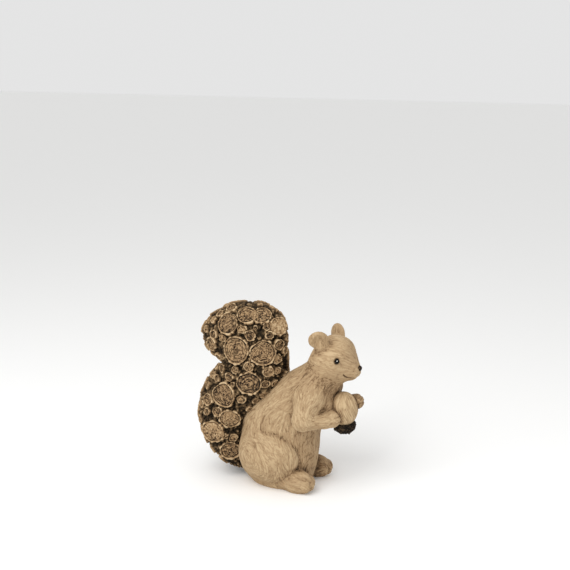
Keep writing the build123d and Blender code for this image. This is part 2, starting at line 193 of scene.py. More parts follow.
def limbField(points, start, end, startRadius=0.0, endRadius=0.0):
    # a rod with round ends whose radius runs from one to the other
    start, axis = np.array(start), np.subtract(end, start)
    share = np.clip((points - start) @ axis / (axis @ axis), 0, 1)
    return lengthOf(points - start - share[:, None] * axis) - startRadius - (endRadius - startRadius) * share


def joined(a, b, soft):
    # the nearer of two shapes, with a soft hollow where they meet
    part = np.clip(0.5 + 0.5 * (b - a) / soft, 0, 1)
    return b + (a - b) * part - soft * part * (1 - part)


def tiltedPlane(origin, tilt):
    # an origin with three directions: ahead and down by the tilt, to the left, and up
    slope = math.radians(tilt)
    ahead, up = [math.cos(slope), 0, -math.sin(slope)], [math.sin(slope), 0, math.cos(slope)]
    return np.array(origin), np.array([ahead, [0, 1, 0], up])


def turned(points, plane):
    # places along a plane's own three directions
    return (points - plane[0]) @ plane[1].T


def returned(local, plane):
    # places given along a plane's own three directions, back in space
    return plane[0] + local @ plane[1]


# Camera, floor and light

photo = {
    "azimuth": 25, "elevation": 19, "distance": 950, "lens": 66.72, "sensor": 36, "frame": 570,
    "aimHeight": 77.6, "aimPixel": (278, 396),  # where the point over the origin falls in the photograph
}


def towards(azimuth, elevation):
    # the way from the figure to what stands round it: on its right at azimuth 0, in front of it at 90
    a, e = math.radians(azimuth), math.radians(elevation)
    return np.array([math.sin(a) * math.cos(e), -math.cos(a) * math.cos(e), math.sin(e)])


def makeCamera():
    # turned so that the aim point falls on its pixel, without roll
    data = bpy.data.cameras.new("camera")
    data.lens = photo["lens"]
    data.sensor_width = photo["sensor"]
    view = addObject("camera", data)
    bpy.context.scene.camera = view
    back = towards(photo["azimuth"], photo["elevation"])
    view.location = (back * photo["distance"] + [0, 0, photo["aimHeight"]]) * mm
    focal = photo["lens"] / photo["sensor"] * photo["frame"]
    x, y = (np.array(photo["aimPixel"]) - photo["frame"] / 2) / focal
    aim = np.array([x, -y, -1]) / math.sqrt(x * x + y * y + 1)
    tilt = math.asin(-back[2] / math.hypot(aim[1], aim[2])) - math.atan2(aim[2], aim[1])
    ahead = math.cos(tilt) * aim[1] - math.sin(tilt) * aim[2]
    view.rotation_euler = (tilt, 0, math.atan2(-back[1], -back[0]) - math.atan2(ahead, aim[0]))


studio = {
    "floorSize": 12000, "floorColour": (0.95, 0.95, 0.94, 1), "floorRoughness": 0.9, "skyStrength": 0.78,
    # azimuth, elevation, distance, size, watts
    "lamps": [(-12, 48, 900, 700, 4.6), (75, 30, 1000, 600, 1.0), (6, 34, 900, 60, 0.4)],
}


def newPaint(name):
    # a material with its nodes and its main shader
    paint = bpy.data.materials.new(name)
    paint.use_nodes = True
    return paint, paint.node_tree, paint.node_tree.nodes["Principled BSDF"]


def makeStudio():
    # a pale floor, square softboxes that face the figure, and a white sky
    corners = studio["floorSize"] / 2 * np.array([[-1, -1, 0], [1, -1, 0], [1, 1, 0], [-1, 1, 0]])
    paint, tree, shader = newPaint("floorPaint")
    feed(tree, shader, {"Base Color": studio["floorColour"], "Roughness": studio["floorRoughness"]})
    makeMesh("floor", corners, [np.array([[0, 1, 2, 3]])], {}, paint, smooth=False)
    for number, (azimuth, elevation, distance, size, watts) in enumerate(studio["lamps"]):
        light = bpy.data.lights.new(f"softbox{number}", "AREA")
        light.size = size * mm
        light.energy = watts
        lamp = addObject(f"softbox{number}", light)
        lamp.location = (towards(azimuth, elevation) * distance + [0, 0, photo["aimHeight"]]) * mm
        lamp.rotation_euler = (math.pi / 2 - math.radians(elevation), 0, math.radians(azimuth))
    bpy.context.scene.view_settings.view_transform = "Standard"
    world = bpy.data.worlds.new("studio")
    bpy.context.scene.world = world
    world.use_nodes = True
    tree = world.node_tree
    feed(tree, tree.nodes["Background"], {"Color": (1, 1, 1, 1), "Strength": studio["skyStrength"]})


# Finishes: shared effects are node groups, and each finish sets its own values

def nodeGroup(name, inputs, outputs):
    # inputs and outputs are named with their kinds
    group = bpy.data.node_groups.new(name, "ShaderNodeTree")
    for way, sockets in (("INPUT", inputs), ("OUTPUT", outputs)):
        for label, kind in sockets.items():
            group.interface.new_socket(name=label, in_out=way, socket_type="NodeSocket" + kind)
    return group, group.nodes.new("NodeGroupInput").outputs, group.nodes.new("NodeGroupOutput")


def feed(tree, node, inputs):
    # each input, by its name or number, takes a link from a socket or a value of its own
    for label, value in inputs.items():
        if isinstance(value, bpy.types.NodeSocket):
            tree.links.new(value, node.inputs[label])
        else:
            node.inputs[label].default_value = value


def addNode(tree, kind, settings=None, **inputs):
    # a shader node with its settings and inputs
    node = tree.nodes.new("ShaderNode" + kind)
    for label, value in (settings or {}).items():
        setattr(node, label, value)
    feed(tree, node, inputs)
    return node


def addPattern(tree, kind, **inputs):
    # a pattern in the piece's own space
    return addNode(tree, "Tex" + kind, Vector=addNode(tree, "TexCoord").outputs["Object"], **inputs)


def addMix(tree, factor, first, second):
    # the first colour at factor nought, the second at one
    node = addNode(tree, "Mix", {"data_type": "RGBA", "clamp_factor": True})
    feed(tree, node, {0: factor, 6: first, 7: second})  # the inputs for colours are the seventh and eighth
    return node.outputs[2]


def addMath(tree, operation, *values):
    # one calculation with the values in turn
    node = addNode(tree, "Math", {"operation": operation})
    feed(tree, node, dict(enumerate(values)))
    return node.outputs[0]


def addValue(tree, label):
    # a number kept at each point of the piece
    return addNode(tree, "Attribute", {"attribute_name": label}).outputs["Fac"]


def paintColour(*screen):
    # screen values from 0 to 255 as the linear colour that a shader takes
    return *(((c / 255 + 0.055) / 1.055) ** 2.4 for c in screen), 1.0


paintNames = ("High", "Middle", "Low", "Dark")  # from the ridges to the grooves


def makeWashAndShade():
    # antique wash and painted shade: dark paint left in hollows, thinner on ridges, broken up by mottling;
    # the hollow input also carries painted shade from each piece
    inputs = dict.fromkeys(paintNames, "Color")
    inputs.update(dict.fromkeys(("Tone", "Hollow", "Mottle", "Grain"), "Float"))
    group, given, made = nodeGroup("antiqueWash", inputs, {"Color": "Color", "Tone": "Float"})
    broad = addPattern(group, "Noise", Scale=90.0, Detail=3.0).outputs[0]
    fine = addPattern(group, "Noise", Scale=given["Grain"], Detail=2.0).outputs[0]
    cloud = addMath(group, "SUBTRACT", addMath(group, "ADD", broad, fine), 1.0)
    tone = addMath(group, "MULTIPLY_ADD", cloud, given["Mottle"], given["Tone"])
    # the hollow input darkens the tone: dark wash in hollows, and painted shade
    tone = addMath(group, "SUBTRACT", tone, given["Hollow"])
    colour = given["Dark"]
    for low, high, paint in ((0.0, 0.33, "Low"), (0.33, 0.66, "Middle"), (0.66, 1.0, "High")):
        step = addNode(group, "MapRange", {"interpolation_type": "SMOOTHSTEP"}, Value=tone)
        feed(group, step, {"From Min": low, "From Max": high})
        colour = addMix(group, step.outputs[0], colour, given[paint])
    feed(group, made, {"Color": colour, "Tone": tone})
    return group


def makeDust():
    # pale specks where a fine noise passes a limit, which is lower where there is more dust
    inputs = {"Color": "Color", "Dust": "Color", "Amount": "Float"}
    group, given, made = nodeGroup("paleDust", inputs, {"Color": "Color"})
    specks = addPattern(group, "Noise", Scale=900.0, Detail=1.0).outputs[0]
    limit = addMath(group, "MULTIPLY_ADD", given["Amount"], -0.3, 0.86)
    shown = addMath(group, "MULTIPLY", addMath(group, "SUBTRACT", specks, limit), 14.0)
    shown = addMath(group, "MINIMUM", addMath(group, "MAXIMUM", shown, 0.0), 0.8)
    feed(group, made, {"Color": addMix(group, shown, given["Color"], given["Dust"])})
    return group


def makeGrain():
    # cast grain: fine noise and small pits as a height
    group, _, made = nodeGroup("castGrain", {}, {"Height": "Float"})
    fine = addPattern(group, "Noise", Scale=1200.0, Detail=4.0).outputs[0]
    pits = addPattern(group, "Voronoi", Scale=540.0).outputs["Distance"]
    feed(group, made, {"Height": addMath(group, "MULTIPLY_ADD", pits, 0.5, fine)})
    return group


washAndShade, dust, grain = makeWashAndShade(), makeDust(), makeGrain()

finishes = {
    "furResin": {
        "paints": ((189, 164, 128), (165, 138, 104), (125, 99, 70), (66, 50, 34)),
        "mottle": 0.10, "grain": 500.0, "dust": 0.12, "roughness": 0.72, "gloss": 0.25, "bump": 0.25,
    },
    "acornResin": {
        "paints": ((196, 171, 134), (168, 141, 106), (122, 96, 68), (66, 50, 34)),
        "mottle": 0.12, "grain": 500.0, "dust": 0.0, "roughness": 0.70, "gloss": 0.25, "bump": 0.25,
    },
    "acornCupPaint": {
        "paints": ((74, 60, 43), (50, 40, 28), (32, 25, 17), (14, 11, 7)),
        "mottle": 0.5, "grain": 900.0, "dust": 0.0, "roughness": 0.78, "gloss": 0.12, "bump": 0.5,
    },
    "tailBark": {
        "paints": ((158, 132, 98), (92, 74, 52), (44, 35, 23), (13, 10, 6)),
        "mottle": 0.4, "grain": 600.0, "dust": 0.1, "roughness": 0.82, "gloss": 0.1, "bump": 0.6,
    },
    "sawnWood": {
        "paints": ((192, 167, 131), (160, 131, 96), (98, 77, 54), (26, 20, 13)),
        "mottle": 0.4, "grain": 700.0, "dust": 0.06, "roughness": 0.76, "gloss": 0.15, "bump": 0.4,
    },
}
dustColour = paintColour(206, 200, 190)


def makeFinish(name):
    # tone and hollow come from the piece, or are nought; hollow is dark wash together with painted shade;
    # colour, roughness and grain follow them
    values = finishes[name]
    material, tree, shader = newPaint(name)
    paints = {label: paintColour(*paint) for label, paint in zip(paintNames, values["paints"])}
    washed = addNode(
        tree, "Group", {"node_tree": washAndShade}, Tone=addValue(tree, "tone"), Hollow=addValue(tree, "hollow"),
        Mottle=values["mottle"], Grain=values["grain"], **paints,
    ).outputs
    dusty = addNode(
        tree, "Group", {"node_tree": dust}, Color=washed["Color"], Dust=dustColour, Amount=values["dust"]
    ).outputs
    height = addNode(tree, "Group", {"node_tree": grain}).outputs["Height"]
    bump = addNode(tree, "Bump", Strength=values["bump"], Distance=0.2 * mm, Height=height).outputs
    feed(tree, shader, {
        "Base Color": dusty["Color"],
        "Roughness": addMath(tree, "MULTIPLY_ADD", washed["Tone"], -0.1, values["roughness"] + 0.08),
        "Specular IOR Level": values["gloss"],
        "Normal": bump["Normal"],
    })
    return material


def makeGloss(name, colour, glintColour, roughness):
    # painted bead under clear lacquer, with faint brush marks in its colour and a glint that is a painted
    # highlight
    paint, tree, shader = newPaint(name)
    marks = addPattern(tree, "Noise", Scale=900.0, Detail=3.0).outputs[0]
    base = paintColour(*colour)
    lighter = *(min(1, 2.2 * c) for c in base[:3]), 1.0
    brushed = addMix(tree, marks, base, lighter)
    feed(tree, shader, {
        "Base Color": addMix(tree, addValue(tree, "tone"), brushed, paintColour(*glintColour)),
        "Roughness": addMath(tree, "MULTIPLY_ADD", marks, 0.1, roughness),
        "Specular IOR Level": 0.05,
        "Coat Weight": 0.08,
        "Coat Roughness": 0.06,
    })
    return paint


# The figure: torso, haunches, head, arms, feet and ears as distances, joined softly

torso = {
    "rows": [  # height, middle, half length, half width
        (0.0, 4.2, 28.1, 24.1), (9.3, 0.4, 33.9, 26.9), (21.6, 0.4, 36.9, 28.0),
        (35.0, 1.8, 37.3, 28.0), (47.8, 2.8, 37.3, 27.4), (58.9, 5.7, 38.3, 26.9),
        (69.4, 12.0, 36.9, 26.3), (79.3, 20.2, 33.5, 25.8), (89.8, 28.0, 29.6, 24.6),
        (100.9, 34.8, 24.8, 22.0), (109.0, 40.8, 18.7, 19.0), (116.6, 45.8, 12.7, 14.5),
    ],
    "haunch": (2.3, 18.8, 29.4), "haunchRadii": (26.8, 20.2, 25.0), "haunchRear": 30.5,
    "chest": (50.0, 6.0, 78.0), "chestRadii": (8.5, 11.0, 12.0), "chestSoft": 3.0,
}
head = {
    "rows": [  # along the axis, middle height, half height, half width
        (0.0, -3.9, 3.0, 5.0), (1.4, -3.7, 8.6, 10.5), (3.6, -2.6, 12.5, 13.9),
        (7.0, -0.9, 16.3, 17.2), (14.0, -0.4, 19.4, 19.7), (22.5, -0.4, 20.5, 20.6),
        (29.0, -1.0, 18.6, 18.3), (34.0, -2.0, 14.6, 14.6), (38.5, -2.6, 10.4, 10.8),
        (42.0, -2.6, 6.9, 8.2), (44.2, -2.6, 4.3, 5.8), (45.6, -2.6, 1.8, 2.4),
    ],
    "origin": (36.0, 0.0, 127.6), "tilt": 21.8,
    "chin": (38.0, 0.0, -6.8), "chinRadii": (5.6, 7.2, 4.6), "chinSoft": 1.5,
}
ears = {
    "place": {-1: (5.3, -19.2, 15.6), 1: (8.8, 20.2, 12.7)},  # along the head, to the left and up
    "lean": {-1: -26.0, 1: -6.0}, "turn": 28.0, "roll": 19.0, "radii": (8.7, 9.3, 3.1),
    "cup": (0.6, -0.8, 3.1), "cupRadii": (5.8, 7.0, 2.8), "cupSoft": 1.6,
    "rootTop": (0.5, -6.0, -1.5), "rootLow": (1.0, -11.0, -5.0), "rootRadius": 4.6, "rootSoft": 3.0,
}
mouth = [  # along the head, to the side and up
    (36.0, 13.0, -4.9), (37.4, 11.4, -6.3), (39.2, 9.6, -6.9),
    (41.4, 7.6, -6.6), (43.3, 4.8, -6.0), (44.6, 0.0, -5.6),
]
arms = {  # shoulder, elbow, wrist and paw, each with its radius
    "armRight": np.array([
        (40.1, -21.3, 86.9, 13.0), (36.6, -28.6, 69.6, 9.2),
        (51.8, -19.0, 68.8, 7.2), (58.1, -14.0, 69.4, 7.6),
    ]),
    "armLeft": np.array([
        (40.1, 21.3, 86.9, 13.0), (36.6, 28.6, 69.6, 9.2),
        (59.0, 19.0, 73.5, 7.2), (71.6, 8.6, 80.2, 6.9),
    ]),
}
armSoft = (2.5, 2.0)  # at the elbow and the wrist
feet = {
    "place": (28.0, 20.5, 8.5), "radii": (15.0, 10.0, 11.0),
    "heel": (7.0, 16.5, 5.5), "heelRadius": 7.5, "heelSoft": 3.0,
    "toe": (10.5, 5.5, -0.5), "toeBack": 1.5, "toeRadii": (6.0, 3.3, 6.5), "toeSoft": 0.7,
}
blends = {  # how soft a meeting is, and how much softer it gets over stretches of x or z
    "haunch": (2.2, 6.8), "rumpX": (-16, 2), "rumpZ": (4, 16),
    "foot": (2.5, 2.5), "heelX": (12, 30),
    "arm": (4.5, 6.0), "shoulderZ": (74, 92),
    "head": 9.0, "ear": 4.5,
}
seam = {"fall": 0.35, "under": 1.2}  # past a seam a piece falls away and ends under its neighbour

torsoTable, headTable = smoothRows(torso["rows"]), smoothRows(head["rows"])
headPlane = tiltedPlane(head["origin"], head["tilt"])


def earPlane(side):
    # across the ear, up it and out through its cup
    turn, lean, roll = (math.radians(angle) for angle in (ears["turn"], ears["lean"][side], ears["roll"]))
    outward = unit(np.array([math.sin(turn), side * math.cos(turn) * math.cos(lean), math.sin(lean)]))
    forward = np.array([math.cos(turn), -side * math.sin(turn), 0])
    across = unit(forward - outward * (forward @ outward))
    upward = np.cross(outward, across)
    upward *= np.sign(upward[2])
    rolled = across * math.cos(roll) + upward * math.sin(roll)
    upward = upward * math.cos(roll) - across * math.sin(roll)
    return returned(np.array(ears["place"][side]), headPlane), np.array([rolled, upward, outward])


def earField(points):
    # a cupped oval on a short root, on each side
    made = []
    for side in (-1, 1):
        local = turned(points, earPlane(side))
        shell = ballField(local, np.zeros(3), ears["radii"])
        cup = ballField(local, ears["cup"], ears["cupRadii"])
        root = limbField(local, ears["rootTop"], ears["rootLow"], ears["rootRadius"], ears["rootRadius"])
        made.append(joined(-joined(-shell, cup, ears["cupSoft"]), root, ears["rootSoft"]))
    return np.minimum(*made)


def footField(beside):
    # a ball with a heel behind it and three toes in front
    foot = ballField(beside, feet["place"], feet["radii"])
    heel = limbField(beside, feet["heel"], feet["place"], feet["heelRadius"], feet["heelRadius"])
    foot = joined(foot, heel, feet["heelSoft"])
    for number in (-1, 0, 1):
        toe = np.add(feet["place"], feet["toe"] * np.array([1, number, 1]))
        toe[0] -= feet["toeBack"] * abs(number)
        foot = joined(foot, ballField(beside, toe, feet["toeRadii"]), feet["toeSoft"])
    return foot


def partFields(points):
    # the distance to each part by itself
    x, y, z = points.T
    beside = np.stack([x, np.abs(y), z], axis=1)
    chest = ballField(beside, torso["chest"], torso["chestRadii"])
    haunchRadii = np.tile(torso["haunchRadii"], (len(points), 1))
    haunchRadii[x < torso["haunch"][0], 0] = torso["haunchRear"]
    local = turned(points, headPlane)
    chin = ballField(local, head["chin"], head["chinRadii"])
    fields = {
        "torso": joined(stackField(z, x, y, torsoTable), chest, torso["chestSoft"]),
        "haunch": ballField(beside, torso["haunch"], haunchRadii),
        "head": joined(stackField(local[:, 0], local[:, 2], local[:, 1], headTable), chin, head["chinSoft"]),
        "foot": footField(beside),
        "ear": earField(points),
    }
    for name, joints in arms.items():
        upper, lower, hand = (limbField(points, a[:3], b[:3], a[3], b[3]) for a, b in zip(joints, joints[1:]))
        fields[name] = joined(joined(upper, lower, armSoft[0]), hand, armSoft[1])
    return fields


def wholeField(fields, points):
    # all parts joined softly, flat underneath
    x, z = points[:, 0], points[:, 2]
    rump = (1 - smoothStep(x, *blends["rumpX"])) * smoothStep(z, *blends["rumpZ"])
    heel = 1 - smoothStep(x, *blends["heelX"])
    shoulder = smoothStep(z, *blends["shoulderZ"])
    body = joined(fields["torso"], fields["haunch"], blends["haunch"][0] + blends["haunch"][1] * rump)
    body = joined(body, fields["foot"], blends["foot"][0] + blends["foot"][1] * heel)
    for name in arms:
        body = joined(body, fields[name], blends["arm"][0] + blends["arm"][1] * shoulder)
    for name in ("head", "ear"):
        body = joined(body, fields[name], blends[name])
    return np.maximum(body, -z)


def pieceField(points, own):
    # the whole figure, kept to where this part is the nearest
    fields = partFields(points)
    past = fields[own] - np.minimum.reduce([field for label, field in fields.items() if label != own])
    whole = wholeField(fields, points)
    return np.maximum(whole + seam["fall"] * np.maximum(past, 0), past - seam["under"])


def slopes(field, points, step=0.05):
    # the field's slope, from four places round each point
    ways = np.array([[1, 1, 1], [1, -1, -1], [-1, 1, -1], [-1, -1, 1]], float)
    return sum(way * field(points + step * way)[:, None] for way in ways) / (4 * step)


def surfaceNet(field, low, high, cell):
    # one point in each small cube that the surface crosses, at the mean of its crossings,
    # and a square across each crossed edge
    block = 4
    count = np.ceil((high - low) / cell / block).astype(int) * block
    middles = np.indices(count // block).reshape(3, -1).T * block + (block - 1) / 2
    rough = field(low + middles * cell)
    near = np.abs(rough) < 1.5 * block * cell
    values = np.kron(rough.reshape(count // block), np.ones([block] * 3)).astype(np.float32)
    nearCells = np.argwhere(near.reshape(count // block)) * block
    offsets = np.indices([block] * 3).reshape(3, -1).T
    fine = (nearCells[:, None, :] + offsets[None]).reshape(-1, 3)
    values[tuple(fine.T)] = field(low + fine * cell)
    for axis in range(3):
        edges = np.moveaxis(values, axis, 0)
        edges[[0, 1, -2, -1]] = np.maximum(edges[[0, 1, -2, -1]], cell)
    inside = values < 0
    size = np.array(values.shape)
    flat = lambda index: (index[:, 0] * size[1] + index[:, 1]) * size[2] + index[:, 2]
    total, hits, squares = np.zeros((values.size, 3), np.float32), np.zeros(values.size, np.float32), []
    for axis in range(3):
        step, one, two = np.roll(np.eye(3, dtype=int), -axis, axis=0)
        crossed = np.argwhere(np.diff(inside, axis=axis))
        a, b = values[tuple(crossed.T)], values[tuple((crossed + step).T)]
        point = crossed + step * (a / (a - b))[:, None]
        cells = [crossed - one - two, crossed - two, crossed, crossed - one]
        for cellIndex in cells:
            index = flat(cellIndex)
            for k in range(3):
                total[:, k] += np.bincount(index, point[:, k], values.size)
            hits += np.bincount(index, minlength=values.size)
        square = np.stack([flat(cellIndex) for cellIndex in cells], 1)
        outside = ~inside[tuple(crossed.T)]
        square[outside] = square[outside, ::-1]
        squares.append(square)
    squares = np.concatenate(squares)
    used = np.flatnonzero(hits)
    points = low + total[used] / hits[used][:, None] * cell
    number = np.zeros(values.size, np.int64)
    number[used] = np.arange(len(used))
    for _ in range(2):
        slope = slopes(field, points)
        points = points - slope * (field(points) / np.maximum((slope**2).sum(1), 0.2))[:, None]
    return points, number[squares]


# Carved fur: streaks along the way the hair lies

def flowAt(points, fields):
    # the way the hair lies: back over the head, down the back, round the haunch, along arms and feet
    x, y, z = points.T
    shareX, shareY, _, _, change = stackTerms(z, x, y, torsoTable)
    down = -np.stack([change[0] + shareX * change[1], shareY * change[2], np.ones_like(x)], 1)
    turn = np.exp(1j * math.radians(fur["swirlTilt"]))
    off = (x - fur["swirl"][0] + 1j * (z - fur["swirl"][1])) / turn
    ring = (-off.imag * fur["swirlStretch"] + 1j * off.real / fur["swirlStretch"]) * turn
    ways = {
        "torso": down,
        "haunch": np.stack([ring.real, 0 * x, ring.imag], 1),
        "head": np.tile([0, 0, -0.25] - headPlane[1][0], (len(points), 1)),
        "foot": np.tile([1.0, 0, -0.15], (len(points), 1)),
        "ear": np.where(y[:, None] < 0, earPlane(-1)[1][1], earPlane(1)[1][1]),
    }
    for name, joints in arms.items():
        shoulder, elbow, wrist, paw = joints[:, :3]
        share = smoothStep(limbField(points, shoulder, elbow) - limbField(points, elbow, wrist), -6, 6)
        upper, lower = unit(np.array([elbow - shoulder, paw - elbow]))
        ways[name] = upper + share[:, None] * (lower - upper)
    nearest = np.minimum.reduce([fields[name] for name in ways])
    total = np.zeros_like(points)
    for name, way in ways.items():
        way = unit(way)
        sense = np.where(np.einsum("ij,ij->i", way, unit(down)) < 0, -1, 1)
        total += way * (np.exp(-(fields[name] - nearest) / fur["flowBlend"]) * sense)[:, None]
    waver = np.stack([solidNoise(points + shift, fur["waverPitch"]) for shift in (0, 40, 80)], 1)
    return total + fur["waver"] * waver * lengthOf(total)[:, None]


def streaks(points, normals, ways, pitch, reach):
    # solid noise averaged along the hair: long one way and fine the other
    along = unit(ways - normals * np.einsum("ij,ij->i", ways, normals)[:, None])
    steps = np.arange(-reach, reach + 0.01, pitch * 0.6)
    weights = np.cos(steps / reach * math.pi / 2) ** 2
    total = sum(w * solidNoise(points + along * s, pitch) for s, w in zip(steps, weights))
    return total / total.std()


creases = [  # two parts, depth and width of the line between them
    ("torso", "haunch", 0.65, 1.2), ("haunch", "foot", 0.3, 1.0),
    ("torso", "armRight", 0.4, 1.2), ("torso", "armLeft", 0.4, 1.2),
]


def creaseAt(points, fields):
    # a line pressed in where two parts are as near as each other, if both are near, but not on the rump
    total = 0
    for one, other, depth, width in creases:
        near = 1 - smoothStep(np.maximum(fields[one], fields[other]), 1.5, 4.0)
        total = total + depth * bell(fields[one] - fields[other], width) * near
    return total * smoothStep(points[:, 0], -14, 2) * smoothStep(points[:, 2], 5, 15)


def lineDistance(points, line):
    # the distance to a run of straight stretches
    return np.minimum.reduce([limbField(points, start, end) for start, end in zip(line, line[1:])])


def faceLines(points):
    # the smile, darkest at its corner, and the hollow round each eye bead
    local = turned(points, headPlane)
    local[:, 1] = np.abs(local[:, 1])
    corner = smoothStep(-local[:, 0], -41, -38)
    smile = bell(lineDistance(local, mouth), 0.66) * (0.6 + 0.4 * corner)
    socket = ballField(local, beads["eye"], np.array(beads["eyeRadii"]) + 0.25)
    return smile, bell(socket, 0.5) + (socket < 0)


def pawLines(points):
    # two lines between three fingers on the outer half of each paw
    total = np.zeros(len(points))
    for joints in arms.values():
        wrist, paw = joints[2:, :3]
        ahead = unit(paw - wrist)
        off = points - paw
        across = off @ np.cross(ahead, [0, 1.0, 0])
        inside = smoothStep(off @ ahead, -1.5, 1.0) * (1 - smoothStep(lengthOf(off), 9, 11))
        for gap in (-2.1, 2.1):
            total += inside * bell(across - gap, 0.55)
    return np.minimum(total, 1)


beads = {
    "eye": (27.3, 18.9, 6.4), "eyeRadii": (2.1, 2.0, 2.6), "eyePinch": 0.4,
    "nose": (43.2, 0.0, 2.0), "noseRadii": (2.3, 2.5, 2.7), "nosePinch": -0.1,
    # glint: where the painted highlight sits on each bead, and its size
    "glint": (0.25, 0.86, 0.45), "glintSize": 0.3, "grid": (40, 64),
}
fur = {
    "cell": 0.47, "torsoCell": 0.64, "room": 3.5,
    "pitch": 0.82, "reach": 5.5, "groove": 0.36, "grooveWidth": 0.42,
    "tuftPitch": 2.8, "tuftReach": 12.0, "tuft": 0.38, "tuftWidth": 0.35,
    "flowBlend": 2.0, "waver": 0.28, "waverPitch": 11.0,
    "swirl": (-13.0, 31.0), "swirlTilt": -52.0, "swirlStretch": 1.9,
    "cleft": [(-4.5, 26.9, 49.5), (-5.0, 26.0, 58.0), (-1.5, 25.2, 67.0)], "cleftWidth": 1.1,
}
marks = {  # how deep each mark is pressed in, and how much dark wash it holds
    "smile": (1.3, 0.85), "socket": (0.3, 0.6),
    "nick": (0.2, 0.22), "fingers": (0.6, 0.25), "cleft": (0.5, 0.42),
}

acorn = {
    "place": (63.7, 0.0, 61.1), "tilt": 4.0,
    "radius": 13.3, "height": 31.0, "seat": 2.0, "nutShift": -2.3,
    "grid": (150, 340), "groove": 0.38, "grooveWidth": 0.45,
    "cupRadius": 10.8, "cupHeight": 9.0, "cupGrid": (60, 150),
}
tail = {
    "lift": 6.0, "height": 154.8, "place": -35.0, "length": 86.0, "width": 50.0, "shadeGap": 2.0,
    "grid": (330, 300), "knob": 2.6, "knobPitch": 3.5, "knobRadius": 0.62, "topShare": 0.45,
    "rows": [  # height, rear, front and half width, as shares
        (0.000, -0.07, 0.06, 0.12), (0.030, -0.14, 0.09, 0.27), (0.080, -0.25, 0.10, 0.39),
        (0.130, -0.34, 0.10, 0.45), (0.190, -0.41, 0.10, 0.49), (0.270, -0.46, 0.12, 0.50),
        (0.345, -0.475, 0.15, 0.50), (0.470, -0.42, 0.35, 0.49), (0.540, -0.35, 0.44, 0.48),
        (0.595, -0.27, 0.48, 0.47), (0.640, -0.22, 0.48, 0.46), (0.675, -0.23, 0.48, 0.47),
        (0.705, -0.32, 0.48, 0.49), (0.745, -0.40, 0.475, 0.50), (0.800, -0.42, 0.475, 0.50),
        (0.850, -0.40, 0.47, 0.49), (0.895, -0.34, 0.45, 0.45), (0.935, -0.25, 0.40, 0.38),
        (0.965, -0.16, 0.33, 0.29), (0.990, -0.05, 0.22, 0.17), (1.000, 0.04, 0.12, 0.06),
    ],
}


def tailRows():
    # height, middle, half length and half width in millimetres
    share, rear, front, half = np.array(tail["rows"]).T
    middle = tail["place"] + (rear + front) / 2 * tail["length"]
    height = tail["lift"] + share * tail["height"]
    return np.stack([height, middle, (front - rear) / 2 * tail["length"], half * tail["width"]], 1)


tailTable = smoothRows(tailRows(), 600)
acornPlane = tiltedPlane(acorn["place"], acorn["tilt"])


def shade(points, normals):
    # how closed in a place is: how much nearer than the step the figure, nut or tail lies, a step out; it
    # darkens colours as dark wash and as painted shade
    total = np.zeros(len(points))
    nutMiddle = (acorn["nutShift"], 0, acorn["height"] / 2 - acorn["seat"])
    nutRadii = (acorn["radius"], acorn["radius"], acorn["height"] / 2)
    for reach, weight in ((1.0, 0.5), (2.5, 0.6), (6.0, 0.5)):
        out = points + normals * reach
        nut = ballField(turned(out, acornPlane), nutMiddle, nutRadii)
        rear = stackField(out[:, 2], out[:, 0], out[:, 1], tailTable) + tail["shadeGap"]
        nearest = np.minimum(np.minimum(wholeField(partFields(out), out), nut), rear)
        total += weight * np.clip(1 - nearest / reach, 0, 1)
    return total


def makeCasting(name, node, own, side, depth, stainAndShade):
    # the part of the figure between the node's corners, carved with fur
    low, high = np.array(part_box(node)) / mm
    low, high = low - fur["room"], high + fur["room"]
    if side:
        low[1], high[1] = (low[1], 0) if side < 0 else (0, high[1])
    field = lambda at: pieceField(at, own)
    points, squares = surfaceNet(field, low, high, fur["torsoCell" if own == "torso" else "cell"])
    fields = partFields(points)
    normals = unit(slopes(field, points))
    ways = flowAt(points, fields)
    fine = streaks(points, normals, ways, fur["pitch"], fur["reach"])
    tufts = streaks(points + 100, normals, ways, fur["tuftPitch"], fur["tuftReach"])
    groove = bell(fine, fur["grooveWidth"])
    furrow = bell(tufts, fur["tuftWidth"])
    # dark wash and painted shade where the figure, nut or tail close a place in, less on the ears
    closedWashAndShade = shade(points, normals) * (0.4 if own == "ear" else 1.0)
    crease = creaseAt(points, fields)
    smile, socket = faceLines(points)
    beside = points * [1, np.sign(points[:, 1].mean()) if side else -1, 1]
    cleft = bell(lineDistance(beside, fur["cleft"]), fur["cleftWidth"])
    made = {
        "smile": smile,
        "socket": socket,
        "nick": smoothStep(-fine, 1.7, 2.3) * smoothStep(tufts, 0.0, 0.8),
        "fingers": pawLines(points),
        "cleft": cleft * smoothStep(-fine, -0.6, 0.4),
    }
    lift = -depth * (fur["groove"] * groove + fur["tuft"] * furrow) - crease
    lift -= sum(marks[mark][0] * made[mark] for mark in marks)
    flat = smoothStep(points[:, 2], 0.05, 2.0)
    tone = 0.92 - 0.34 * groove * (0.5 + 0.5 * depth) - 0.20 * furrow + 0.05 * np.tanh(fine)
    if own == "torso":  # painted shade: the belly is darkened as if it lay in its own shade
        closedWashAndShade += 0.28 * smoothStep(points[:, 0], 20, 34) * (1 - smoothStep(points[:, 2], 58, 70))
    # dark wash in creases and closed-in places, with painted shade there, on the belly and on the far-side
    # pieces
    hollow = np.minimum(0.5 * closedWashAndShade + 0.25 * crease, 0.7) + stainAndShade
    hollow += sum(marks[mark][1] * np.minimum(made[mark], 1) for mark in marks)
    points = points + normals * (lift * flat)[:, None]
    points[:, 2] = np.maximum(points[:, 2], 0)
    values = {"tone": tone, "hollow": hollow}
    place(makeMesh(name, points, [squares], values, finish["furResin"]), "fur_resin", node)
    print(name, len(squares) * 2, "triangles")


finish = {name: makeFinish(name) for name in finishes}
makeCamera()
makeStudio()
print("camera, floor, light and finishes made")

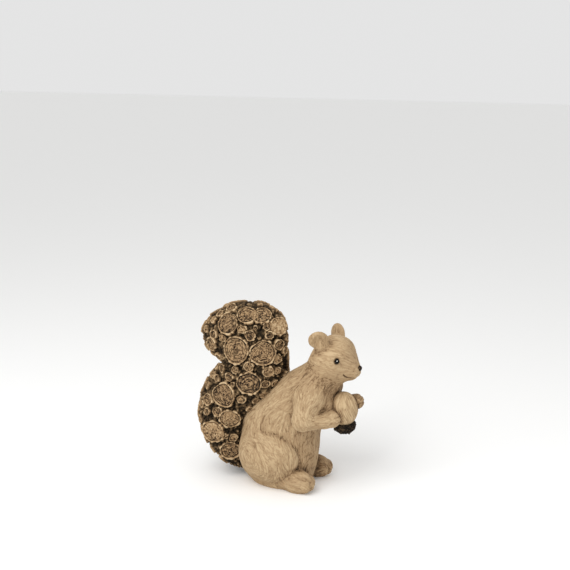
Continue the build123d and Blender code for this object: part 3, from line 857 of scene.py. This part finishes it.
castings = [  # piece, node, part, side, depth of the carving, extra dark wash and painted shade: the larger values on the left arm and left foot are painted shade on the side away from the lamps
    ("torso", "body_casting", "torso", 0, 1.0, 0.03),
    ("haunchRight", "body_casting", "haunch", -1, 1.0, 0.0),
    ("haunchLeft", "body_casting", "haunch", 1, 1.0, 0.0),
    ("head", "head_casting", "head", 0, 0.5, 0.0),
    ("armRight", "arm_right", "armRight", 0, 0.8, 0.0),
    ("armLeft", "arm_left", "armLeft", 0, 0.8, 0.26),
    ("footRight", "foot_right", "foot", 0, 0.7, 0.04),
    ("footLeft", "foot_left", "foot", 0, 0.7, 0.2),
    ("earRight", "ear_right", "ear", 0, 0.4, 0.04),
    ("earLeft", "ear_left", "ear", 0, 0.4, 0.06),
]
for row in castings:
    makeCasting(*row)
print("figure carved")


# Surfaces on a grid: rows run one way, columns go round and close

def tube(points, rows, columns):
    # squares between rows that close round, and a fan to the mean point at each end
    index = np.arange(rows * columns).reshape(rows, columns)
    after = np.roll(index, -1, axis=1)
    faces = [np.stack([index[:-1], after[:-1], after[1:], index[1:]], -1).reshape(-1, 4)]
    for number, row, flip in ((0, 0, 1), (1, -1, -1)):
        pole = np.full(columns, len(points) + number)
        faces.append(np.stack([index[row], pole, after[row]][::flip], -1))
    return np.concatenate([points, [points[index[row]].mean(axis=0) for row in (0, -1)]]), faces


def around(rows, columns):
    # shares along the rows, and angles round the columns, as flat arrays
    turns = np.arange(columns) / columns * 2 * math.pi
    return np.repeat(np.linspace(0, 1, rows), columns), np.tile(turns, rows)


def ringAt(turn, radius, height):
    # places round an upright axis
    return np.stack([np.cos(turn) * radius, np.sin(turn) * radius, height + 0 * turn], 1)


def poled(values):
    # a number for the pole at each end, after the grid's own
    return np.append(values, [values.mean()] * 2)


# Acorn: a nut with fine furrows that meet at its tip, and a rough cup under it

def makeNut():
    # an oval whose furrows sway as they run up it
    share, turn = around(*acorn["grid"])
    latitude = (share - 0.5) * math.pi * 0.985
    sway = turn + 0.45 * latitude + 0.12 * np.sin(3 * latitude + 1.0)
    line = ringAt(sway, 13, latitude * 1.6)
    fine = solidNoise(line, 1.0) + 0.6 * solidNoise(line + 50, 0.55)
    fine /= fine.std()
    groove = bell(fine, acorn["grooveWidth"])
    wide = acorn["radius"] * np.cos(latitude) - acorn["groove"] * groove * np.cos(latitude) ** 0.5
    local = ringAt(turn, wide, acorn["height"] / 2 * (np.sin(latitude) + 1) - acorn["seat"])
    points = returned(local + [acorn["nutShift"], 0, 0], acornPlane)
    # dark wash and painted shade on the nut where the figure lies close to it
    closedWashAndShade = np.clip(1 - wholeField(partFields(points), points) / 4.0, 0, 1)
    values = {"tone": poled(0.90 - 0.42 * groove + 0.05 * np.tanh(fine)), "hollow": poled(0.5 * closedWashAndShade**1.5)}
    points, faces = tube(points, *acorn["grid"])
    place(makeMesh("acornNut", points, faces, values, finish["acornResin"]), "acorn_nut", "acorn_nut")


def makeCup():
    # a bowl whose top folds in over the nut's seat, with crossed rows of scales
    share, turn = around(*acorn["cupGrid"])
    latitude = -math.pi / 2 * (1 - share * 1.14)
    below = latitude < 0
    radius = acorn["cupRadius"] * np.where(below, np.cos(latitude), 1 - 0.9 * latitude**2)
    high = acorn["cupHeight"] * np.where(below, np.sin(latitude), latitude)
    scales = np.abs(np.sin(turn * 11 + share * 26)) * np.abs(np.sin(-turn * 11 + share * 26))
    rough = solidNoise(ringAt(turn, radius, high), 1.1)
    lift = -0.6 + 0.4 * scales + 0.35 * rough
    local = ringAt(turn, radius + lift, high + lift * np.sin(latitude))
    points, faces = tube(returned(local, acornPlane), *acorn["cupGrid"])
    values = {"tone": poled(0.3 + 0.35 * scales + 0.45 * np.tanh(rough))}
    place(makeMesh("acornCup", points, faces, values, finish["acornCupPaint"]), "acorn_cap", "acorn_cap")


makeNut()
makeCup()
print("acorn made")


# Eyes and nose: lacquered beads

def makeBead(name, slot, node, kind, side, material):
    # an oval bead, given along the head, to the left and up, that narrows towards its top by the pinch share
    share, turn = around(*beads["grid"])
    latitude = (share - 0.5) * math.pi * 0.99
    narrow = 1 - beads[kind + "Pinch"] * smoothStep(np.sin(latitude), -0.2, 1.0)
    local = ringAt(turn, np.cos(latitude) * narrow, np.sin(latitude))
    # painted highlight: a pale spot on the bead where a reflection of the lamps would be
    facing = unit(np.array(beads["glint"]) * [1, side, 1])
    glint = 1 - smoothStep(lengthOf(local - facing), beads["glintSize"] * 0.7, beads["glintSize"])
    local = local * beads[kind + "Radii"] + np.array(beads[kind]) * [1, side, 1]
    points, faces = tube(returned(local, headPlane), *beads["grid"])
    place(makeMesh(name, points, faces, {"tone": poled(glint)}, material), slot, node)


# the second colour of each lacquer is its painted highlight
eyeGloss = makeGloss("eyeLacquer", (4, 3, 2), (236, 230, 218), 0.1)
noseGloss = makeGloss("noseLacquer", (30, 22, 14), (84, 66, 47), 0.4)
makeBead("eyeRight", "eye_gloss", "eye_right", "eye", -1, eyeGloss)
makeBead("eyeLeft", "eye_gloss", "eye_left", "eye", 1, eyeGloss)
makeBead("noseTip", "nose_paint", "nose", "nose", -1, noseGloss)
print("eyes and nose made")


# Tail: a dark bark core, faced with sawn slices

def makeTailCore():
    # the tail's ovals, with rows evenly apart along its skin, pushed out by lumps of bark
    share, turn = around(*tail["grid"])
    levels, sizes, change = tailTable
    steps = lengthOf(np.diff(np.column_stack([levels, sizes[:, 1:]]), axis=0))
    path = np.concatenate([[0], np.cumsum(steps)])
    height = np.interp(share * path[-1], path, levels)
    middle, halfX, halfY = (np.interp(height, levels, row) for row in sizes.T)
    sway, growX, growY = (np.interp(height, levels, row) for row in change.T)
    points = np.stack([middle + halfX * np.cos(turn), halfY * np.sin(turn), height], 1)
    off, own = lumpNoise(points + 0.6 * solidNoise(points, 2.0)[:, None], tail["knobPitch"])
    knob = np.clip(1 - (off / tail["knobRadius"]) ** 2, 0, 1) ** 0.7 * smoothStep(own, -0.6, 0.6) ** 0.7
    chips = np.tanh(solidNoise(points * [1, 1, 0.5] + 30, 1.1))
    cleft = bell(solidNoise(points + 60, 3.4), 0.2)
    lift = tail["knob"] * knob + 0.4 * chips - 0.8 * cleft - 0.3
    outX, outY = np.cos(turn) / halfX, np.sin(turn) / halfY
    rise = -outX * (sway + np.cos(turn) * growX) - outY * np.sin(turn) * growY
    outward = unit(np.stack([outX, outY, rise], 1))
    points = points + outward * (lift * (1 - tail["topShare"] * outward[:, 2] ** 2))[:, None]
    tone = 0.4 + 0.5 * knob + 0.25 * chips - 0.35 * cleft
    points, faces = tube(points, *tail["grid"])
    core = makeMesh("tailCore", points, faces, {"tone": poled(tone)}, finish["tailBark"])
    place(core, "tail_bark", "tail_casting")


def readTriangles(node):
    # a node's corner places in millimetres, and for each corner the number of its place
    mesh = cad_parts[node].data
    mesh.calc_loop_triangles()
    points = np.empty(len(mesh.vertices) * 3)
    mesh.vertices.foreach_get("co", points)
    points = points.reshape(-1, 3) / mm
    corners = np.empty(len(mesh.loop_triangles) * 3, np.int32)
    mesh.loop_triangles.foreach_get("vertices", corners)
    same = np.unique(np.round(points, 3), axis=0, return_inverse=True)[1].ravel()
    return points[corners].reshape(-1, 3, 3), same[corners].reshape(-1, 3)


def looseParts(tied):
    # the number of each triangle's loose part: each place takes the lowest number that it is tied to
    label = np.arange(tied.max() + 1)
    while True:
        lower = label.copy()
        np.minimum.at(lower, tied.ravel(), np.repeat(label[tied].min(axis=1), 3))
        lower = lower[lower]
        if (lower == label).all():
            return label[tied[:, 0]]
        label = lower


def sawnFaces(node):
    # each loose part of a node: the middle, direction and radius of its largest flat side, the sawn face
    corners, tied = readTriangles(node)
    area = np.cross(corners[:, 1] - corners[:, 0], corners[:, 2] - corners[:, 0]) / 2
    size = lengthOf(area)
    parts = looseParts(tied)
    faces = []
    for part in np.unique(parts):
        own = parts == part
        ways = np.round(area[own] / size[own][:, None], 2)
        kind = np.unique(ways, axis=0, return_inverse=True)[1].ravel()
        flat = np.flatnonzero(own)[kind == np.argmax(np.bincount(kind, size[own]))]
        weights = size[flat]
        middle = (corners[flat].sum(axis=1) / 3 * weights[:, None]).sum(axis=0) / weights.sum()
        way = unit(area[flat].sum(axis=0))
        middle += way * ((corners[flat, 0] @ way).max() - middle @ way)
        faces.append((middle, way, math.sqrt(weights.sum() / math.pi / slices["oval"])))
    return faces


slices = {
    "oval": 0.93, "depth": 7.8, "cell": 0.34, "lobe": 0.06, "lean": 0.05,
    "rim": 0.95, "rimShare": 0.2, "lowRim": 0.7, "rimRise": 0.2, "sink": 0.75,
    "ringStep": 1.9, "ringDepth": 0.4, "crack": 0.5, "crackWidth": 0.26, "chip": 0.3, "bark": 0.6,
    "faceRows": 9, "rimRows": 6, "sideRows": 8, "columns": (40, 160),
    "smooth": ("log_slice_04",),
    # lighter or darker wood for some slices: the negative values are painted shade on slices that sit back
    # among the others
    "paler": {"log_slice_01": -0.06, "log_slice_05": 0.12, "log_slice_07": -0.16, "log_slice_10": 0.2},
    "merged": {"log_slice_03": "log_slice_02", "log_slice_02": "log_slice_03"},
}


def sliceGrid(radius, columns):
    # three stretches of rows: over the face, over the rim and down the bark, each from 0 to 1
    faceRows = max(slices["faceRows"], int(radius / slices["cell"]))
    rimRows, sideRows = slices["rimRows"], slices["sideRows"]
    face = np.concatenate([np.linspace(1 / faceRows, 1, faceRows), np.ones(rimRows + sideRows)])
    rim = np.concatenate([np.zeros(faceRows), np.linspace(0.17, 1, rimRows), np.ones(sideRows)])
    down = np.concatenate([np.zeros(faceRows + rimRows), np.linspace(0.06, 1, sideRows) ** 1.3])
    turn = np.tile(np.arange(columns) / columns * 2 * math.pi, len(face))
    return len(face), *np.repeat([face, rim, down], columns, axis=1), turn


def makeSlice(middle, way, radius, seed, smooth, paler, merged):
    # an uneven oval with growth rings round an off-centre pith, cracks, chips and a lumpy rim of bark
    random = np.random.default_rng(seed)
    columns = int(np.clip(2 * math.pi * radius / slices["cell"], *slices["columns"]))
    rows, face, rim, down, turn = sliceGrid(radius, columns)
    first = unit(np.cross([0, 0, 1.0] if abs(way[2]) < 0.9 else [1.0, 0, 0], way))
    second = np.cross(way, first)

    cos, sin = np.cos(turn), np.sin(turn)
    lobes = sum(random.normal() * np.cos(k * turn + random.uniform(0, 6.3)) / k for k in range(2, 9))
    circle = ringAt(turn, radius, 0) + random.uniform(0, 60, 3)
    bark = solidNoise(circle, 1.9) + 0.5 * solidNoise(circle + 20, 0.9)
    lumps = np.tanh(bark)
    edge = radius * (1 + slices["lobe"] * lobes)
    edge = edge / np.hypot(cos, sin / slices["oval"]) + 0.25 * lumps
    lowSide = np.maximum(0, -sin) * second[2]
    wide = slices["rim"] * (0.75 + slices["lowRim"] * lowSide + 0.4 * lumps)
    wide = np.minimum(wide, slices["rimShare"] * radius)
    pith = random.normal(size=2) * 0.08 * radius
    out = face * (edge - wide) + rim * wide
    flatX = out * cos + pith[0] * (1 - face)
    flatY = out * sin + pith[1] * (1 - face)

    spot = np.stack([flatX, flatY, 0 * flatX], 1) + random.uniform(0, 60, 3)
    warp = 0.6 * solidNoise(spot, 4.0) + 0.28 * solidNoise(spot + 20, 1.6)
    step = slices["ringStep"] * random.uniform(0.85, 1.2)
    clear = 0.0 if smooth else random.uniform(0.3, 1.0)
    rings = 0.5 * np.cos(2 * math.pi * (face * radius + warp) / step)
    rings = rings * (0.45 + 0.55 * smoothStep(solidNoise(spot + 10, 3.0), -0.5, 0.4))
    chips = np.tanh(solidNoise(spot + 40, 1.3))
    cracks = np.zeros_like(face)
    for _ in range(random.integers(2, 6) if radius > 5 else 1):
        at, start = random.uniform(0, 2 * math.pi), random.uniform(0.1, 0.7)
        off = np.angle(np.exp(1j * (turn - at + 0.15 * warp))) * face * radius
        cracks = np.maximum(cracks, bell(off, slices["crackWidth"]) * (face > start))
    bite = smoothStep(solidNoise(spot + 80, 1.0), 0.1, 0.7) * (0.15 if smooth else 1 - 0.4 * clear)
    relief = slices["ringDepth"] * (rings - 0.5) * (0.4 + clear) + slices["chip"] * chips
    relief = relief - slices["crack"] * cracks - 0.25 * bite - slices["sink"]

    onFace, onSide = rim == 0, down > 0
    rise = smoothStep(rim, 0, 0.45)
    crest = slices["rimRise"] * np.sin(math.pi * rim) + 0.22 * lumps - 0.3
    shared = np.zeros_like(face)
    if merged is not None:
        offX, offY = flatX - (merged[0] - middle) @ first, flatY - (merged[0] - middle) @ second
        shared = 1 - smoothStep(np.hypot(offX, offY) / merged[2], 0.85, 1.05)
        crest = crest - (crest + slices["sink"]) * shared
    height = np.where(onFace, relief, relief * (1 - rise) + crest * rise) - down * slices["depth"]
    lean = random.normal(size=2) * slices["lean"]
    height = height + lean[0] * flatX + lean[1] * flatY - abs(lean).sum() * radius * 0.5
    swell = onSide * (slices["bark"] * lumps + 0.3 * np.sin(math.pi * np.minimum(2 * down, 1)))
    flatX, flatY = flatX + swell * cos, flatY + swell * sin
    points = middle + np.outer(flatX, first) + np.outer(flatY, second) + np.outer(height, way)

    wood = 0.55 + 0.42 * rings * (0.3 + clear) + 0.22 * chips - 0.5 * cracks - 0.42 * bite
    # paler below nought is painted shade on a slice that sits back
    wood = wood + paler + (0.25 if smooth else random.uniform(-0.14, 0.12))
    wood = wood - 0.25 * smoothStep(face, 0.8, 1.0) * (1 - shared)
    rimTone = 0.80 + 0.2 * lumps - 0.3 * (1 - rise)
    rimTone = rimTone + (0.5 - rimTone) * shared
    # painted shade: the bark side darkens as it goes down into the gaps towards the core
    sideTone = rimTone - 0.3 * smoothStep(down, 0, 0.1) - 0.5 * smoothStep(down, 0.1, 0.45)
    tone = np.where(onFace, wood, np.where(onSide, sideTone, rimTone))
    return *tube(points, rows, columns), poled(tone)


def makeSlices():
    # a piece for each node: all its slices in one, kept inside the box of the solids
    low, high = np.array(cadBox) / mm
    number = 0
    for node in sorted(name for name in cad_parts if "slice" in name):
        pair = slices["merged"].get(node)
        pair = sawnFaces(pair)[0] if pair else None
        paler = slices["paler"].get(node, 0.0)
        points, faces, tones, count = [], [], [], 0
        for middle, way, radius in sawnFaces(node):
            number += 1
            made, own, tone = makeSlice(middle, way, radius, number, node in slices["smooth"], paler, pair)
            points.append(made)
            faces.extend(rows + count for rows in own)
            tones.append(tone)
            count += len(made)
        points = np.clip(np.concatenate(points), low, high)
        name = "sawn" + "".join(word.capitalize() for word in node.split("_"))
        piece = makeMesh(name, points, faces, {"tone": np.concatenate(tones)}, finish["sawnWood"])
        place(piece, "log_slice" if node.startswith("log") else "branch_slice", node)
    print(number, "slices sawn")


makeTailCore()
makeSlices()
